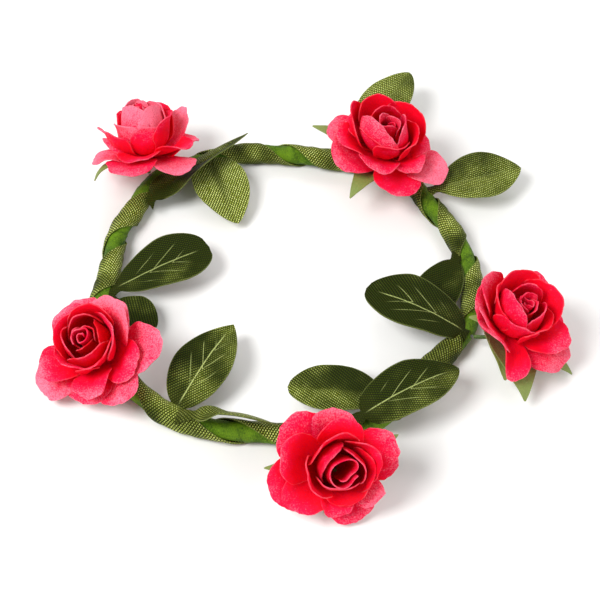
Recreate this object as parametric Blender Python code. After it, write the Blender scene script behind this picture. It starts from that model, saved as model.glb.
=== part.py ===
"""Flower crown: a hand-bent wire ring bound in floral tape and leaf ribbon, with paper roses on wire stems.

Sizes are in metres, +Z is up and -Y is the front. The origin is the centre of the ring, on the surface
that it lies on. Angles are in degrees. An azimuth is counted anticlockwise from +X, seen from above. An
angle round the ring's section is counted from its outer side (0) over its top (90) to its inner side (180).
"""

import math

import bmesh
import bpy
from mathutils import Matrix, Vector

MM = 0.001
UP = Vector((0.0, 0.0, 1.0))

# Clearances
GAP = 0.3 * MM  # between pieces that lie on each other
RIBBON_LIFT = 0.5 * MM  # a leaf's neck above the ribbon that it leaves
STEM_HOLE_GAP = 0.3 * MM  # round a stem in the petals and in the tape
BORE_GAP = 0.5 * MM  # between the wires and the tape, which are both bent by hand
HINGE_GAP = 0.4 * MM  # between a stem and its leg, at the bend

# Ring
RING_RADIUS = 57.0 * MM
RING_BENDS = (  # azimuth, and how far the hand-bent ring stands out of round there
    (6, 0.8 * MM),
    (33, 0.0 * MM),
    (48, 3.0 * MM),
    (80, -1.3 * MM),
    (112, 1.6 * MM),
    (131, 4.0 * MM),
    (151, -0.5 * MM),
    (175, -3.2 * MM),
    (199, 1.0 * MM),
    (234, 2.0 * MM),
    (265, -1.0 * MM),
    (292, 1.5 * MM),
    (322, -3.5 * MM),
    (345, 1.0 * MM),
)
WIRE_RADIUS = 0.8 * MM
WIRE_START = 12.0
WIRE_OVERLAP = 24.0
WIRE_CROSSING = 20.0  # the angle over which the wire changes sides before it overlaps itself
LEG_RADIUS = 0.5 * MM
LEG_LENGTH = 13.0 * MM
TAPE_WALL = 0.8 * MM
TAPE_SIDES = 10
TAPE_STEP = 6.0 * MM  # between two rings of the sleeve's points

# Leaf ribbon
RIBBON_WIDTH = 9.5 * MM
RIBBON_THICKNESS = 0.5 * MM
RIBBON_PITCH = 25.0 * MM
RIBBON_STARTS = (2.5 * MM, 24.8 * MM, 3.0 * MM, 22.6 * MM, 7.4 * MM)  # where each stretch's turns begin
RIBBON_ACROSS = 5
RIBBON_STEPS_PER_TURN = 12
LEAF_THICKNESS = 0.5 * MM
LEAF_STEPS = 8
LEAF_NECK = 2.4 * MM
LEAF_TIP = 0.5 * MM
LEAF_FOLD = 0.10  # rise of the leaf's edges over its midrib, as a share of the half width

# Roses
PAPER = 0.6 * MM
LAYER_GAP = 0.35 * MM
STEM_RADIUS = 0.6 * MM
OUTER_RADIUS = 18.5 * MM
OUTER_SLOPE = 0.20
MIDDLE_RADIUS = 12.5 * MM
MIDDLE_RISE = 9.0 * MM
BUD_RADIUS = 5.8 * MM
BUD_HEIGHT = 15.0 * MM
SOCKET_DEPTH = 4.0 * MM
SEPAL_REACH = 15.5 * MM
SEPAL_SLOPE = 0.13
SEPAL_WAIST = 0.30  # reach between two sepals, as a share of their reach
PETALS = 5
STEPS_PER_PETAL = 4
STEPS_ALONG_PETAL = 3
OUTER_NOTCH = 0.16  # depth of the notch between two petals, as a share of their reach
MIDDLE_NOTCH = 0.12

# Each rose: azimuth, the angle round the section where its stem leaves the tape, the calyx's place in mm
# (out and along from the ring's centreline, up from the ribbon), its head's lean out and along, its spin
ROSES = {
    "back_right": {"azimuth": 58, "exit": 88, "place": (0.4, -1.3, 2.5), "lean": (3, -15), "spin": 10},
    "back_left": {"azimuth": 134, "exit": 66, "place": (3.3, -1.8, 2.5), "lean": (22, -24), "spin": 30},
    "left": {"azimuth": 209, "exit": 62, "place": (2.8, 0.6, 1.6), "lean": (31, 9), "spin": 0},
    "front": {"azimuth": 283, "exit": 40, "place": (15.0, -0.7, 4.4), "lean": (52, 2), "spin": 20},
    "right": {"azimuth": 340, "exit": 22, "place": (12.3, 4.3, 1.8), "lean": (20, 2), "spin": 50},
}

# Each leaf: azimuth and angle round the section of its neck, turn from the ring's direction there, length,
# width, the height of its tip and the arch of its midrib
LEAVES = (
    {"azimuth": 9, "round": 150, "turn": 140, "length": 28, "width": 14, "tip": 5.5, "arch": 0.8},
    {"azimuth": 40, "round": 35, "turn": -100, "length": 29, "width": 15, "tip": 8.0, "arch": 2.0},
    {"azimuth": 68, "round": 60, "turn": -113, "length": 36, "width": 16, "tip": 11.0, "arch": 0.5},
    {"azimuth": 119, "round": 150, "turn": 100, "length": 26, "width": 16, "tip": 4.0, "arch": 1.5},
    {"azimuth": 141, "round": 120, "turn": 147, "length": 38, "width": 8, "tip": 13.0, "arch": 0.0},
    {"azimuth": 179, "round": 150, "turn": 129, "length": 31, "width": 16, "tip": 8.0, "arch": 3.0},
    {"azimuth": 187, "round": 165, "turn": 60, "length": 18, "width": 12, "tip": 5.0, "arch": 0.5},
    {"azimuth": 238, "round": 150, "turn": 90, "length": 31, "width": 16, "tip": 8.0, "arch": 2.5},
    {"azimuth": 244, "round": 90, "turn": 8, "length": 25, "width": 11, "tip": 9.5, "arch": 1.5},
    {"azimuth": 291, "round": 90, "turn": 10, "length": 34, "width": 15, "tip": 10.0, "arch": 2.0},
    {"azimuth": 305, "round": 150, "turn": 125, "length": 28, "width": 14, "tip": 6.0, "arch": 0.5},
    {"azimuth": 334, "round": 140, "turn": 98, "length": 28, "width": 18, "tip": 10.0, "arch": 2.5},
)

# Places that follow
STRAND_OFFSET = WIRE_RADIUS + GAP / 2
LEG_OFFSET = WIRE_RADIUS + GAP + LEG_RADIUS - STRAND_OFFSET
TAPE_BORE = max(STRAND_OFFSET + WIRE_RADIUS, LEG_OFFSET + LEG_RADIUS) + BORE_GAP
TAPE_RADIUS = TAPE_BORE + TAPE_WALL
RIBBON_INNER = TAPE_RADIUS + GAP
RIBBON_OUTER = RIBBON_INNER + RIBBON_THICKNESS
RIBBON_SLOPE = math.atan2(math.tau * RIBBON_OUTER, RIBBON_PITCH)
RING_HEIGHT = RIBBON_OUTER
RING_STEPS = round(math.tau * RING_RADIUS / TAPE_STEP)
CALYX_FLOOR = PAPER / 2
OUTER_FLOOR = CALYX_FLOOR + PAPER + LAYER_GAP
MIDDLE_FLOOR = OUTER_FLOOR + PAPER + LAYER_GAP
BUD_FLOOR = MIDDLE_FLOOR + PAPER / 2 + LAYER_GAP
PETAL_HOLE = STEM_RADIUS + STEM_HOLE_GAP


def new_material(name, colour, roughness, metallic=0.0):
    """A Principled material; the colour is given in sRGB, 0 to 255."""
    made = bpy.data.materials.new(name)
    made.use_nodes = True
    shader = made.node_tree.nodes["Principled BSDF"]
    linear = [(c / 255 / 12.92) if c < 11 else ((c / 255 + 0.055) / 1.055) ** 2.4 for c in colour]
    shader.inputs["Base Color"].default_value = (*linear, 1.0)
    shader.inputs["Roughness"].default_value = roughness
    shader.inputs["Metallic"].default_value = metallic
    made.diffuse_color = (*linear, 1.0)
    return made


def clear_scene():
    for old in list(bpy.data.objects):
        bpy.data.objects.remove(old, do_unlink=True)


def add_object(name, data, material, hinge=None):
    """Links an object whose data is in world space. With a hinge, the data moves into the hinge's space."""
    made = bpy.data.objects.new(name, data)
    bpy.context.scene.collection.objects.link(made)
    data.materials.append(material)
    if hinge:
        data.transform(hinge.matrix_world.inverted())
        made.parent = hinge
    return made


def shell(name, front, back, loop):
    """A closed mesh between two grids of points. With loop, the last row of each grid joins the first."""
    mesh = bmesh.new()
    faces = [[[mesh.verts.new(p) for p in row] for row in grid] for grid in (front, back)]
    rows = len(front)
    columns = len(front[0])
    pairs = [(i, (i + 1) % rows) for i in range(rows if loop else rows - 1)]
    for grid in faces:
        for a, b in pairs:
            for j in range(columns - 1):
                mesh.faces.new((grid[a][j], grid[b][j], grid[b][j + 1], grid[a][j + 1]))
    for a, b in pairs:
        for j in (0, columns - 1):
            mesh.faces.new((faces[0][a][j], faces[0][b][j], faces[1][b][j], faces[1][a][j]))
    if not loop:
        for i in (0, rows - 1):
            for j in range(columns - 1):
                mesh.faces.new((faces[0][i][j], faces[0][i][j + 1], faces[1][i][j + 1], faces[1][i][j]))
    bmesh.ops.recalc_face_normals(mesh, faces=mesh.faces)
    return finish_mesh(name, mesh)


def finish_mesh(name, mesh):
    data = bpy.data.meshes.new(name)
    mesh.to_mesh(data)
    mesh.free()
    data.shade_smooth()
    data.set_sharp_from_angle(angle=math.radians(40))
    return data


def wire(name, points, radius, sides):
    """A round wire through the points, with filled caps."""
    curve = bpy.data.curves.new(name, "CURVE")
    curve.dimensions = "3D"
    curve.bevel_depth = radius
    curve.bevel_resolution = sides // 4
    curve.use_fill_caps = True
    spline = curve.splines.new("POLY")
    spline.points.add(len(points) - 1)
    for point, place in zip(spline.points, points):
        point.co = (*place, 1.0)
    return curve


def smooth_step(t):
    return t * t * (3 - 2 * t)


def ring_offset(azimuth):
    """How far the ring stands out of round, from bend to bend."""
    azimuth %= 360
    bends = [(a - 360, d) for a, d in RING_BENDS[-1:]] + list(RING_BENDS)
    bends += [(a + 360, d) for a, d in RING_BENDS[:1]]
    for (start, low), (end, high) in zip(bends, bends[1:]):
        if start <= azimuth <= end:
            return low + (high - low) * smooth_step((azimuth - start) / (end - start))
    return 0.0


def ring_point(azimuth):
    radius = RING_RADIUS + ring_offset(azimuth)
    turn = math.radians(azimuth)
    return Vector((radius * math.cos(turn), radius * math.sin(turn), RING_HEIGHT))


def ring_frame(azimuth):
    """The ring's centre there, and its outward and onward directions."""
    onward = (ring_point(azimuth + 0.5) - ring_point(azimuth - 0.5)).normalized()
    return ring_point(azimuth), onward.cross(UP), onward


def section_point(azimuth, radius, angle):
    """A point at this radius from the ring's centreline, at this angle round its section."""
    centre, outward, _ = ring_frame(azimuth)
    return centre + radius * (math.cos(angle) * outward + math.sin(angle) * UP)


def arc_lengths():
    """The length along the centreline from azimuth 0 to each whole degree."""
    lengths = [0.0]
    for degree in range(360):
        lengths.append(lengths[-1] + (ring_point(degree + 1) - ring_point(degree)).length)
    return lengths


def length_at(lengths, azimuth):
    turns, azimuth = divmod(azimuth, 360)
    degree = min(int(azimuth), 359)
    part = azimuth - degree
    return turns * lengths[-1] + lengths[degree] * (1 - part) + lengths[degree + 1] * part


def azimuth_at(lengths, length):
    turns, length = divmod(length, lengths[-1])
    degree = max(d for d in range(360) if lengths[d] <= length)
    return turns * 360 + degree + (length - lengths[degree]) / (lengths[degree + 1] - lengths[degree])


def ring_wire(material):
    """The wire runs along the bore's inner side, then crosses over to lie outside its own start."""
    end = 360 + WIRE_OVERLAP
    points = []
    for i in range(RING_STEPS + 1):
        turn = end * i / RING_STEPS
        crossed = min(1.0, max(0.0, (turn - 360 + WIRE_CROSSING) / WIRE_CROSSING))
        side = STRAND_OFFSET * (2 * smooth_step(crossed) - 1)
        points.append(section_point(WIRE_START + turn, side, 0.0))
    return add_object("ring_wire", wire("ring_wire", points, WIRE_RADIUS, 8), material)


def ring_tape(material, holes):
    """A sleeve round the wires. Its two ends all but meet, and each stem leaves through its own hole."""
    outer = []
    inner = []
    meeting = WIRE_START + WIRE_OVERLAP / 2
    closing = math.degrees(GAP / RING_RADIUS)
    for i in range(TAPE_SIDES):
        angle = math.tau * (i + 0.5) / TAPE_SIDES
        turns = [meeting + closing + (360 - 2 * closing) * j / RING_STEPS for j in range(RING_STEPS + 1)]
        outer.append([section_point(turn, TAPE_RADIUS, angle) for turn in turns])
        inner.append([section_point(turn, TAPE_BORE, angle) for turn in turns])
    tape = add_object("ring_tape", shell("ring_tape", outer, inner, loop=True), material)
    for name, hole in holes.items():
        cut = tape.modifiers.new(name, "BOOLEAN")
        cut.operation = "DIFFERENCE"
        cut.object = hole
    return tape


def hole_cutter(name, start, direction, length, radius):
    turned = direction.to_track_quat("Z", "Y").to_matrix().to_4x4()
    placed = Matrix.Translation(start + direction * length / 2) @ turned
    mesh = bmesh.new()
    bmesh.ops.create_cone(
        mesh, cap_ends=True, segments=10, radius1=radius, radius2=radius, depth=length, matrix=placed
    )
    cutter = bpy.data.objects.new(name, finish_mesh(name, mesh))
    bpy.context.scene.collection.objects.link(cutter)
    cutter.hide_render = True
    cutter.display_type = "WIRE"
    return cutter


def ribbon_wrap(name, lengths, span, material):
    """A helix of flat ribbon on the tape, from one length along the ring to another."""
    start, end, first_turn = span
    steps = math.ceil((end - start) / RIBBON_PITCH * RIBBON_STEPS_PER_TURN)
    outer = []
    inner = []
    for i in range(steps + 1):
        length = start + (end - start) * i / steps
        turn = math.tau * (first_turn - length) / RIBBON_PITCH
        rows = ([], [])
        for j in range(RIBBON_ACROSS + 1):
            across = RIBBON_WIDTH * (j / RIBBON_ACROSS - 0.5)
            azimuth = azimuth_at(lengths, length + across * math.sin(RIBBON_SLOPE))
            angle = turn + across * math.cos(RIBBON_SLOPE) / RIBBON_OUTER
            rows[0].append(section_point(azimuth, RIBBON_OUTER, angle))
            rows[1].append(section_point(azimuth, RIBBON_INNER, angle))
        outer.append(rows[0])
        inner.append(rows[1])
    return add_object(name, shell(name, outer, inner, loop=False), material)


def ribbon_spans(lengths):
    """Start, end and first turn of each stretch of ribbon, which keeps its slanted ends off the stems."""
    keep = STEM_RADIUS + STEM_HOLE_GAP + GAP + RIBBON_WIDTH / 2 * math.sin(RIBBON_SLOPE)
    starts = sorted(length_at(lengths, plan["azimuth"]) for plan in ROSES.values())
    ends = starts[1:] + [starts[0] + lengths[-1]]
    return [(start + keep, end - keep, turn) for start, end, turn in zip(starts, ends, RIBBON_STARTS)]


def on_ribbon(lengths, azimuth, angle):
    """The azimuth nearest this one where the wound ribbon covers this angle round the section."""
    spans = ribbon_spans(lengths)
    length = length_at(lengths, azimuth)
    length += lengths[-1] if length < spans[0][0] else 0.0
    start, end, first_turn = min(spans, key=lambda span: abs(length - (span[0] + span[1]) / 2))
    shift = first_turn - angle / math.tau * RIBBON_PITCH
    crossings = [shift + math.ceil((start - shift) / RIBBON_PITCH) * RIBBON_PITCH]
    while crossings[-1] + RIBBON_PITCH < end:
        crossings.append(crossings[-1] + RIBBON_PITCH)
    middle = min(crossings, key=lambda crossing: abs(length - crossing))
    reach = RIBBON_WIDTH / 2 / math.sin(RIBBON_SLOPE) - LEAF_NECK / 2
    return azimuth_at(lengths, min(max(length, middle - reach), middle + reach))


def leaf(name, plan, lengths, material):
    """A flat leaf from its neck, just clear of the ribbon that it grows from, to its tip."""
    angle = math.radians(plan["round"])
    azimuth = on_ribbon(lengths, plan["azimuth"], angle)
    _, outward, onward = ring_frame(azimuth)
    clear = RIBBON_OUTER + RIBBON_LIFT + LEAF_THICKNESS / 2
    neck = section_point(azimuth, clear, angle)
    turn = math.radians(plan["turn"])
    heading = onward * math.cos(turn) - outward * math.sin(turn)
    tip = neck + heading * plan["length"] * MM
    tip.z = plan["tip"] * MM
    side = heading.cross(UP)
    face = side.cross(heading)
    front = []
    back = []
    for i in range(LEAF_STEPS + 1):
        t = i / LEAF_STEPS
        middle = neck.lerp(tip, t) + UP * plan["arch"] * MM * 4 * t * (1 - t)
        swell = math.sin(math.pi * t**0.9) ** 0.85 if 0 < t < 1 else 0.0
        least = LEAF_NECK + (LEAF_TIP - LEAF_NECK) * t
        half = max(least, plan["width"] * MM * swell) / 2
        row = [middle + side * half * k + face * half * LEAF_FOLD * abs(k) for k in (-1, 0, 1)]
        front.append([p + face * LEAF_THICKNESS / 2 for p in row])
        back.append([p - face * LEAF_THICKNESS / 2 for p in row])
    return add_object(name, shell(name, front, back, loop=False), material)


def sepal_profile(share):
    """Radius and height along a sepal; the petals' profiles are the same from their own floors."""
    return PETAL_HOLE + (SEPAL_REACH - PETAL_HOLE) * share, CALYX_FLOOR + SEPAL_SLOPE * SEPAL_REACH * share


def outer_profile(share):
    return PETAL_HOLE + (OUTER_RADIUS - PETAL_HOLE) * share, OUTER_FLOOR + OUTER_SLOPE * OUTER_RADIUS * share


def middle_profile(share):
    radius = PETAL_HOLE + (MIDDLE_RADIUS - PETAL_HOLE) * math.sin(math.pi / 2 * min(share, 1.0))
    return radius, MIDDLE_FLOOR + OUTER_SLOPE * MIDDLE_RADIUS * share + MIDDLE_RISE * share**2.5


def petal_layer(name, profile, reach_at, head, hinge, material):
    """A layer of cut paper. reach_at gives how far along the profile the petal reaches, across one petal."""
    count = PETALS * STEPS_PER_PETAL
    upper = []
    lower = []
    for i in range(count):
        part = (i % STEPS_PER_PETAL) / STEPS_PER_PETAL
        reach = reach_at(part)
        rows = ([], [])
        for j in range(STEPS_ALONG_PETAL + 1):
            share = reach * j / STEPS_ALONG_PETAL
            radius, height = profile(share)
            ahead = Vector(profile(share + 0.01)) - Vector(profile(share))
            rise = Vector((-ahead.y, ahead.x)).normalized() * PAPER / 2
            turn = math.tau * i / count
            for row, sign in zip(rows, (1, -1)):
                r = radius + sign * rise.x
                row.append(head @ Vector((r * math.cos(turn), r * math.sin(turn), height + sign * rise.y)))
        upper.append(rows[0])
        lower.append(rows[1])
    return add_object(name, shell(name, upper, lower, loop=True), material, hinge)


def petal_reach(notch):
    """Round petals: full reach at the middle of a petal, less by the notch between two."""
    return lambda part: 1 - notch * abs(1 - 2 * part) ** 3


def sepal_reach(part):
    """Pointed sepals, which lie under the middle of each petal."""
    return SEPAL_WAIST + (1 - SEPAL_WAIST) * (1 - abs(1 - 2 * part)) ** 2


def bud(name, head, hinge, material):
    """A rolled bud, turned round a socket for the end of the stem."""
    low = BUD_FLOOR
    high = MIDDLE_FLOOR + BUD_HEIGHT
    span = high - low
    profile = [
        (0.0, low + SOCKET_DEPTH),
        (PETAL_HOLE, low + SOCKET_DEPTH),
        (PETAL_HOLE, low),
        (BUD_RADIUS * 0.45, low + span * 0.05),
        (BUD_RADIUS * 0.85, low + span * 0.25),
        (BUD_RADIUS, low + span * 0.55),
        (BUD_RADIUS * 0.85, low + span * 0.85),
        (BUD_RADIUS * 0.45, high),
        (0.0, high),
    ]
    mesh = bmesh.new()
    verts = [mesh.verts.new((r, 0.0, z)) for r, z in profile]
    edges = [mesh.edges.new(pair) for pair in zip(verts, verts[1:])]
    bmesh.ops.spin(
        mesh, geom=verts + edges, cent=(0, 0, 0), axis=(0, 0, 1), angle=math.tau, steps=14, use_merge=True
    )
    bmesh.ops.remove_doubles(mesh, verts=mesh.verts, dist=GAP / 100)
    bmesh.ops.recalc_face_normals(mesh, faces=mesh.faces)
    mesh.transform(head)
    return add_object(name, finish_mesh(name, mesh), material, hinge)


def bend_points(start, leaving, end, arriving, steps):
    """Points along one smooth bend of wire, from one place and direction to another."""
    pull = (end - start).length / 3
    corners = (start, start + leaving * pull, end - arriving * pull, end)
    points = []
    for i in range(steps + 1):
        t = i / steps
        weights = ((1 - t) ** 3, 3 * t * (1 - t) ** 2, 3 * t * t * (1 - t), t**3)
        points.append(sum((w * c for w, c in zip(weights, corners)), Vector()))
    return points


def rose_frames(plan):
    """The hinge and its frame, the head's matrix (its rim off the surface) and the way the stem leaves."""
    centre, outward, onward = ring_frame(plan["azimuth"])
    leave = math.radians(plan["exit"])
    leaving = math.cos(leave) * outward + math.sin(leave) * UP
    hinge_point = centre + leaving * (TAPE_RADIUS + GAP)
    out, along, up = (distance * MM for distance in plan["place"])
    base = centre + outward * out + onward * along + UP * (RIBBON_OUTER + up)
    lean_out, lean_along = (math.radians(angle) for angle in plan["lean"])
    axis = (math.tan(lean_out) * outward + math.tan(lean_along) * onward + UP).normalized()
    rim = base.z + axis.z * outer_profile(1.0)[1] - math.sqrt(1 - axis.z**2) * OUTER_RADIUS
    base.z += max(0.0, GAP - rim)
    across = onward - axis * axis.dot(onward)
    turned = Matrix((across.cross(axis).normalized(), across.normalized(), axis)).transposed().to_4x4()
    head = Matrix.Translation(base) @ turned @ Matrix.Rotation(math.radians(plan["spin"]), 4, "Z")
    frame = Matrix((outward, onward, UP)).transposed().to_4x4()
    return hinge_point, Matrix.Translation(hinge_point) @ frame, head, leaving


def stem_leg(name, plan, lengths, hinge_point, leaving, material):
    """The end of the stem's wire: it lies beside the ring's wire, then turns up through the tape."""
    turn_start = length_at(lengths, plan["azimuth"])
    points = []
    for i in range(5):
        azimuth = azimuth_at(lengths, turn_start - LEG_LENGTH * (1 - i / 4) - 3 * LEG_RADIUS)
        points.append(section_point(azimuth, LEG_OFFSET, 0.0))
    _, _, onward = ring_frame(plan["azimuth"])
    points += bend_points(points[-1], onward, hinge_point - leaving * GAP, leaving, 5)[1:]
    return add_object(name, wire(name, points, LEG_RADIUS, 8), material)


def rose(place, plan, lengths, colours):
    name = place + "_rose"
    hinge_point, frame, head, leaving = rose_frames(plan)
    hinge = bpy.data.objects.new(name + "_hinge", None)
    bpy.context.scene.collection.objects.link(hinge)
    hinge.matrix_world = frame
    bpy.context.view_layer.update()
    stem_leg(name + "_stem_leg", plan, lengths, hinge_point, leaving, colours["stem"])
    axis = head.to_3x3() @ UP
    throat = head @ Vector((0.0, 0.0, 0.0))
    top = head @ Vector((0.0, 0.0, BUD_FLOOR + SOCKET_DEPTH - GAP))
    points = bend_points(hinge_point + leaving * HINGE_GAP, leaving, throat, axis, 6) + [top]
    add_object(name + "_stem", wire(name + "_stem", points, STEM_RADIUS, 8), colours["stem"], hinge)
    layers = (
        ("_calyx", sepal_profile, sepal_reach, "sepal"),
        ("_outer_petals", outer_profile, petal_reach(OUTER_NOTCH), "petal"),
        ("_middle_petals", middle_profile, petal_reach(MIDDLE_NOTCH), "petal"),
    )
    for ending, profile, reach_at, colour in layers:
        petal_layer(name + ending, profile, reach_at, head, hinge, colours[colour])
    bud(name + "_bud", head, hinge, colours["bud"])
    return hole_cutter(
        name + "_stem_hole", hinge_point - leaving * (TAPE_WALL * 2 + GAP), leaving, TAPE_WALL * 4,
        max(STEM_RADIUS, LEG_RADIUS) + STEM_HOLE_GAP,
    )


def build():
    clear_scene()
    colours = {
        "wire": new_material("galvanised_wire", (150, 152, 150), 0.4, 0.9),
        "tape": new_material("floral_tape", (104, 142, 42), 0.75),
        "ribbon": new_material("woven_ribbon", (76, 84, 32), 0.55),
        "leaf": new_material("woven_leaf", (84, 94, 40), 0.5),
        "stem": new_material("stem_wire_paper", (84, 96, 44), 0.8),
        "sepal": new_material("sepal_paper", (118, 130, 66), 0.85),
        "petal": new_material("petal_paper", (245, 60, 92), 0.8),
        "bud": new_material("bud_paper", (236, 20, 48), 0.8),
    }
    lengths = arc_lengths()
    ring_wire(colours["wire"])
    holes = {place: rose(place, plan, lengths, colours) for place, plan in ROSES.items()}
    ring_tape(colours["tape"], holes)
    for number, span in enumerate(ribbon_spans(lengths), 1):
        ribbon_wrap(f"ribbon_wrap_{number}", lengths, span, colours["ribbon"])
    for number, plan in enumerate(LEAVES, 1):
        leaf(f"leaf_{number:02d}", plan, lengths, colours["leaf"])


build()
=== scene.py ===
import math

import bpy
import numpy as np
from mathutils import Matrix, Vector, noise


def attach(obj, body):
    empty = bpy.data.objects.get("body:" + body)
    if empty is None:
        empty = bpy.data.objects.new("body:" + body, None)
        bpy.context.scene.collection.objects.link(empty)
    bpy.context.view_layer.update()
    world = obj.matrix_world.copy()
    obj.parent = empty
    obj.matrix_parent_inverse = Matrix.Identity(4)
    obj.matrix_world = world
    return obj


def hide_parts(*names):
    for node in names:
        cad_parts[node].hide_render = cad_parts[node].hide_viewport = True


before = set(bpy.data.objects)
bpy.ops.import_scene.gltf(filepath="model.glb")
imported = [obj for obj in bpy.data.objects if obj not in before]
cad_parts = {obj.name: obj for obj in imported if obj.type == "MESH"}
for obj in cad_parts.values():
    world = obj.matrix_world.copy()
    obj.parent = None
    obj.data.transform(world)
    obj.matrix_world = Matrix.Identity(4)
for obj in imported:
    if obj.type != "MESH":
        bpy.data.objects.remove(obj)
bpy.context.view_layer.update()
print("frame loaded")

mm = 0.001
up = Vector((0, 0, 1))
sharpEdge = 50  # degrees, past which an edge is shaded as sharp

studio = {
    "lookAt": (0.0, -0.006, 0.008),
    "elevation": 50,
    "distance": 0.5,
    "aside": 0.00513,  # the object stands a little off the middle of the picture
    "above": -0.00272,
    "lens": 99.3,
    "floorSize": 6.0,
    "floorColour": (240, 240, 238),
    "worldColour": (255, 255, 255),
    "worldStrength": 0.5,
    # name: place, size, strength in watts, all aimed at the crown
    "lamps": {
        "keyLamp": ((-0.5, -0.35, 0.8), 0.5, 9.5),
        "fillLamp": ((0.7, -0.5, 0.6), 0.8, 3.0),
        "backLamp": ((0.1, 0.8, 0.7), 0.6, 3.0),
    },
}


def linear(colour):  # from 0 to 255 as seen on a screen
    return [(c / 255 / 12.92) if c < 11 else ((c / 255 + 0.055) / 1.055) ** 2.4 for c in colour]


def setStudio():
    tilt = math.radians(studio["elevation"])
    back = Vector((0, -math.cos(tilt), math.sin(tilt)))
    rise = Vector((0, math.sin(tilt), math.cos(tilt)))
    place = Vector(studio["lookAt"]) + back * studio["distance"]
    place += Vector((studio["aside"], 0, 0)) + rise * studio["above"]
    bpy.ops.object.camera_add(location=place, rotation=(math.radians(90) - tilt, 0, 0))
    camera = bpy.context.object
    camera.name = "crownCamera"
    camera.data.lens = studio["lens"]
    camera.data.clip_start = 0.01
    bpy.context.scene.camera = camera
    bpy.ops.mesh.primitive_plane_add(size=studio["floorSize"])
    floor = bpy.context.object
    floor.name = "floor"
    floor.data.materials.append(plainMaterial("floorPaint", studio["floorColour"], 0.9))
    for name, (spot, size, strength) in studio["lamps"].items():
        bpy.ops.object.light_add(type="AREA", location=spot)
        lamp = bpy.context.object
        lamp.name = name
        lamp.data.shape = "DISK"
        lamp.data.size = size
        lamp.data.energy = strength
        lamp.rotation_euler = (-Vector(spot)).to_track_quat("-Z", "Y").to_euler()
    world = bpy.data.worlds.new("studioWorld")
    world.use_nodes = True
    sky = world.node_tree.nodes["Background"]
    sky.inputs["Color"].default_value = (*linear(studio["worldColour"]), 1)
    sky.inputs["Strength"].default_value = studio["worldStrength"]
    bpy.context.scene.world = world
    bpy.context.scene.view_settings.view_transform = "Standard"


def plainMaterial(name, colour, roughness):
    made = bpy.data.materials.new(name)
    made.use_nodes = True
    shader = made.node_tree.nodes["Principled BSDF"]
    shader.inputs["Base Color"].default_value = (*linear(colour), 1)
    shader.inputs["Roughness"].default_value = roughness
    return made


class Nodes:  # one material and short ways of adding its nodes
    def __init__(self, name, roughness=0.6):
        self.material = bpy.data.materials.new(name)
        self.material.use_nodes = True
        self.tree = self.material.node_tree
        self.shader = self.tree.nodes["Principled BSDF"]
        self.shader.inputs["Roughness"].default_value = roughness

    def add(self, kind, values=None, links=None, **settings):
        made = self.tree.nodes.new("ShaderNode" + kind)
        for key, value in settings.items():
            setattr(made, key, value)
        for key, value in (values or {}).items():
            made.inputs[key].default_value = value
        for key, source in (links or {}).items():
            self.tree.links.new(source, made.inputs[key])
        return made

    def math(self, operation, first, second=None):
        made = self.tree.nodes.new("ShaderNodeMath")
        made.operation = operation
        for i, value in enumerate((first, second)):
            if value is None:
                continue
            if isinstance(value, (int, float)):
                made.inputs[i].default_value = value
            else:
                self.tree.links.new(value, made.inputs[i])
        return made.outputs[0]

    def mix(self, share, first, second, blend="MIX"):
        made = self.tree.nodes.new("ShaderNodeMix")
        made.data_type = "RGBA"
        made.blend_type = blend
        for key, value in ((0, share), (6, first), (7, second)):
            if isinstance(value, (int, float)):
                made.inputs[key].default_value = value
            elif isinstance(value, (tuple, list)):
                made.inputs[key].default_value = (*linear(value), 1)
            else:
                self.tree.links.new(value, made.inputs[key])
        return made.outputs[2]

    def noise(self, scale, detail=3.0, vector=None, roughness=0.6):
        links = {"Vector": vector or self.objectPlace()}
        made = self.add("TexNoise", {"Scale": scale, "Detail": detail, "Roughness": roughness}, links)
        return made.outputs["Fac"]

    def objectPlace(self):
        if not hasattr(self, "place"):
            self.place = self.add("TexCoord").outputs["Object"]
        return self.place

    def attribute(self, name):
        return self.add("Attribute", attribute_name=name).outputs["Fac"]

    def ramp(self, source, low, high):
        made = self.add("MapRange", {"From Min": low, "From Max": high}, {"Value": source})
        made.interpolation_type = "SMOOTHSTEP"
        return made.outputs["Result"]

    def bump(self, height, distance, strength=1.0):
        links = {"Height": height}
        made = self.add("Bump", {"Distance": distance, "Strength": strength}, links)
        self.tree.links.new(made.outputs["Normal"], self.shader.inputs["Normal"])

    def colour(self, source):
        self.tree.links.new(source, self.shader.inputs["Base Color"])


# petal colours: deep red at the feet and pale pink at the tips, partly the dye's own fading and partly
# painted light: the pale pink stands for lit tips, the bright deep red for light bounced between the petals
petalPaint = {
    "deep": (236, 0, 36),
    "mid": (238, 4, 66),
    "light": (252, 122, 146),
    "edge": (250, 130, 148),
    "speck": (206, 22, 66),
}


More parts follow.
